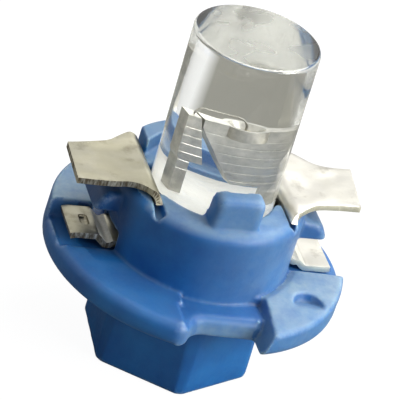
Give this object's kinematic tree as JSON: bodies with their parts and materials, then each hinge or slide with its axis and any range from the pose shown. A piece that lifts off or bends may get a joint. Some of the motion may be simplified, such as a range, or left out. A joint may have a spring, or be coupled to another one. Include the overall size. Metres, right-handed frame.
{
  "type": "led indicator bulb",
  "caption": "Twist-lock panel lamp: clear flat-topped diode in a moulded base with a flange, a tapered hexagonal head and two stamped spring contacts.",
  "frame": {"origin": "centre of the hexagonal head's bottom face", "axes": "+Z along the lamp's axis, from the head to the diode's flat top; the two contacts lie along X; the block in front of the diode is on -Y"},
  "size_m": [0.0122, 0.0118, 0.0143],
  "materials": {
    "base_plastic": "satin moulded nylon, slightly translucent",
    "contact_tin": "dull tin plate with rolled grain",
    "clear_epoxy": "clear cast epoxy",
    "lead_frame": "silver plate",
    "chip": "sawn chip",
    "bond_gold": "bright wire",
    "ceramic": "fired ceramic",
    "resistor_coat": "dipped enamel",
    "solder": "bright solder"
  },
  "bodies": {
    "root": {"base_moulding": "base_plastic", "contact_left": "contact_tin", "contact_right": "contact_tin", "led_lens": "clear_epoxy", "led_anvil": "lead_frame", "led_post": "lead_frame", "led_die": "chip", "bond_wire": "bond_gold", "resistor_core": "ceramic", "resistor_coat": "resistor_coat", "resistor_cap_upper": "lead_frame", "resistor_cap_lower": "lead_frame", "resistor_lead_upper": "lead_frame", "resistor_lead_lower": "lead_frame", "solder_left": "solder", "solder_right": "solder", "solder_resistor": "solder"}
  },
  "joints": []
}
